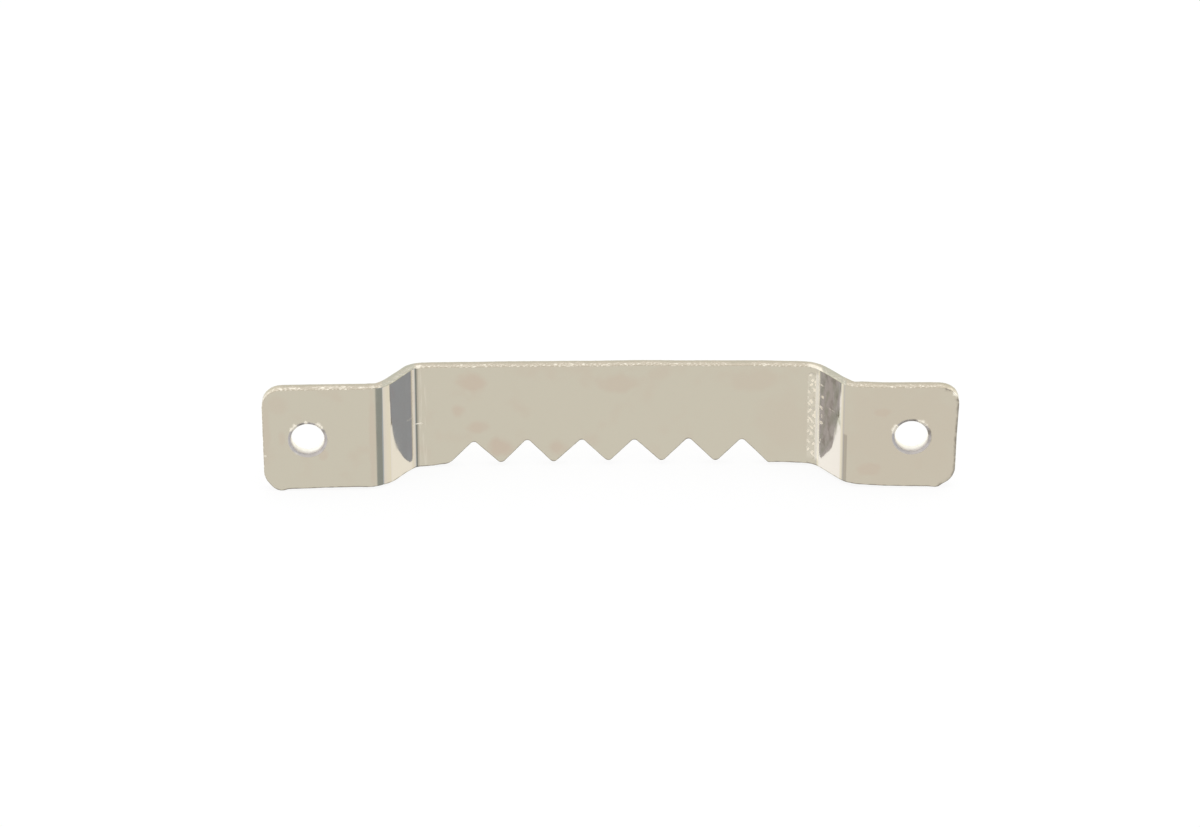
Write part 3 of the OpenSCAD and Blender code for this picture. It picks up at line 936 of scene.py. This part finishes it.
def place_camera(scene, stage):
    """The camera in front of the hanger and a little above it."""
    tilt, turn = stage.camera_tilt, stage.camera_turn
    back = Vector((math.sin(turn) * math.cos(tilt), -math.cos(turn) * math.cos(tilt), math.sin(tilt)))
    right = Vector((math.cos(turn), math.sin(turn), 0))
    up = back.cross(right)
    data = bpy.data.cameras.new("photo_camera")
    data.lens = stage.lens
    data.sensor_width = SENSOR_WIDTH
    data.clip_start = NEAREST_SEEN
    camera = bpy.data.objects.new("photo_camera", data)
    slide = stage.camera_slide
    axes = Matrix((right, up, back)).transposed().to_4x4()
    axes.translation = back * stage.camera_distance + right * slide[0] + up * slide[1]
    camera.matrix_world = axes
    scene.collection.objects.link(camera)
    scene.camera = camera


def lay_floor(scene, finish):
    """A plain pale table top at the lowest burr of the lower edge."""
    height = BOX_LOW.z - max(drop for _, drop in LOW_WANDER) * MM
    mesh = bpy.data.meshes.new("table_top")
    square = ((-1, -1), (1, -1), (1, 1), (-1, 1))
    corners = [(x * FLOOR_REACH, y * FLOOR_REACH, height) for x, y in square]
    mesh.from_pydata(corners, [], [(0, 1, 2, 3)])
    floor = bpy.data.objects.new("table_top", mesh)
    scene.collection.objects.link(floor)
    material, tree = empty_material("Pale matt laminate")
    # Matt laminate, evenly lit: most of what the eye gets is its plain white, and the rest takes soft shadow
    matt = add_node(tree, "ShaderNodeBsdfDiffuse", {"Color": finish.floor}).outputs["BSDF"]
    glow = add_node(tree, "ShaderNodeEmission", {"Color": (1, 1, 1, 1), "Strength": 1.0}).outputs["Emission"]
    share = add_node(tree, "ShaderNodeMixShader", {"Fac": SHADOW_SHARE, 1: glow, 2: matt}).outputs["Shader"]
    clear = add_node(tree, "ShaderNodeBsdfTransparent").outputs["BSDF"]
    mirrored = add_node(tree, "ShaderNodeLightPath").outputs["Is Glossy Ray"]
    seen = add_node(tree, "ShaderNodeMixShader", {"Fac": mirrored, 1: share, 2: clear})
    add_node(tree, "ShaderNodeOutputMaterial", {"Surface": seen.outputs["Shader"]})
    mesh.materials.append(material)


def hang_lamp(scene, stage):
    """One wide soft lamp above the front."""
    data = bpy.data.lights.new("soft_lamp", "AREA")
    data.energy = stage.lamp_power
    data.size = LAMP_WIDTH
    lamp = bpy.data.objects.new("soft_lamp", data)
    lamp.location = LAMP_PLACE
    lamp.rotation_euler = [math.radians(turn) for turn in LAMP_TURN]
    lamp.visible_glossy = False
    scene.collection.objects.link(lamp)


# What the metal mirrors all round: bearing in degrees from straight in front, positive to the right, and its
# red, green and blue. Grey cards stand at the right, and the white table lies beyond both ends.
ROOM = (
    (-180, (1.08, 1.08, 1.08)), (-125, (1.38, 1.38, 1.31)), (-105, (1.38, 1.38, 1.31)),
    (-88, (1.20, 1.20, 1.20)), (-86, (0.88, 0.88, 0.88)), (-82, (0.94, 0.94, 0.94)),
    (-79, (0.84, 0.86, 0.98)), (-57, (0.84, 0.86, 0.98)), (-55, (0.94, 0.94, 0.94)),
    (38, (0.94, 0.94, 0.94)), (40, (0.41, 0.45, 0.475)), (56, (0.41, 0.45, 0.475)),
    (58, (0.63, 0.72, 0.90)), (69, (0.63, 0.72, 0.90)), (71, (0.56, 0.62, 0.76)), (77, (0.56, 0.62, 0.76)),
    (81, (1.12, 1.10, 1.14)), (90, (1.12, 1.10, 1.14)), (115, (1.24, 1.21, 1.05)),
    (180, (1.08, 1.08, 1.08)),
)
# The studio's greatest brightness. The table under the hanger is in its shade: how steeply down the shade
# begins and is complete, and the share of brightness left
PEAK = 1.5
SHADE_BEGINS, SHADE_COMPLETE, SHADE_SHARE = -0.56, -0.80, 0.45


def light_room(scene):
    """Even white light, and a plain studio for the metal to mirror."""
    world = bpy.data.worlds.new("studio")
    world.use_nodes = True
    tree = world.node_tree
    tree.nodes.clear()
    way = add_node(tree, "ShaderNodeTexCoord").outputs["Generated"]
    across, deep, upward = add_node(tree, "ShaderNodeSeparateXYZ", {0: way}).outputs
    bearing = maths(tree, "ARCTAN2", across, times(tree, deep, -1.0))
    turned = maths(tree, "ADD", 0.5, maths(tree, "DIVIDE", bearing, 2 * math.pi))
    cards = add_node(tree, "ShaderNodeValToRGB", {"Fac": turned})
    ramp = cards.color_ramp
    for i, (degrees, colour) in enumerate(ROOM):
        at = (degrees + 180) / 360
        if i == 0:
            stop = ramp.elements[0]
        elif i == len(ROOM) - 1:
            stop = ramp.elements[-1]
        else:
            stop = ramp.elements.new(at)
        stop.position = at
        stop.color = [c / PEAK for c in colour] + [1]
    strength = between(tree, upward, SHADE_COMPLETE, SHADE_BEGINS, SHADE_SHARE * PEAK, PEAK)
    studio = {"Strength": strength, "Color": cards.outputs["Color"]}
    room = add_node(tree, "ShaderNodeBackground", studio).outputs[0]
    even = add_node(tree, "ShaderNodeBackground", {"Color": (1, 1, 1, 1), "Strength": 1.0}).outputs[0]
    mirrored = add_node(tree, "ShaderNodeLightPath").outputs["Is Glossy Ray"]
    seen = add_node(tree, "ShaderNodeMixShader", {"Fac": mirrored, 1: even, 2: room})
    add_node(tree, "ShaderNodeOutputWorld", {"Surface": seen.outputs["Shader"]})
    scene.world = world


class HANGER_PT_panel(bpy.types.Panel):
    """Sizes, finishes and steps of the hanger"""

    bl_idname = "HANGER_PT_panel"
    bl_label = "Picture hanger"
    bl_space_type = "VIEW_3D"
    bl_region_type = "UI"
    bl_category = "Hanger"

    def draw(self, context):
        layout = self.layout
        for title, group in GROUPS.items():
            box = layout.box()
            box.label(text=title.split("_")[1].capitalize())
            for key in group.__annotations__:
                box.prop(getattr(context.scene, title), key)
        for step in STEPS:
            layout.operator(step.bl_idname)


GROUPS = {"hanger_sizes": HangerSizes, "hanger_finish": HangerFinish, "hanger_stage": HangerStage}
STEPS = (HANGER_OT_stage, HANGER_OT_strip)
CLASSES = (*GROUPS.values(), *STEPS, HANGER_PT_panel)


def register():
    for cls in CLASSES:
        bpy.utils.register_class(cls)
    for name, group in GROUPS.items():
        setattr(bpy.types.Scene, name, bpy.props.PointerProperty(type=group))


def unregister():
    for name in GROUPS:
        delattr(bpy.types.Scene, name)
    for cls in reversed(CLASSES):
        bpy.utils.unregister_class(cls)


def main():
    register()
    bpy.ops.hanger.stage()
    bpy.ops.hanger.strip()


if __name__ == "__main__":
    main()
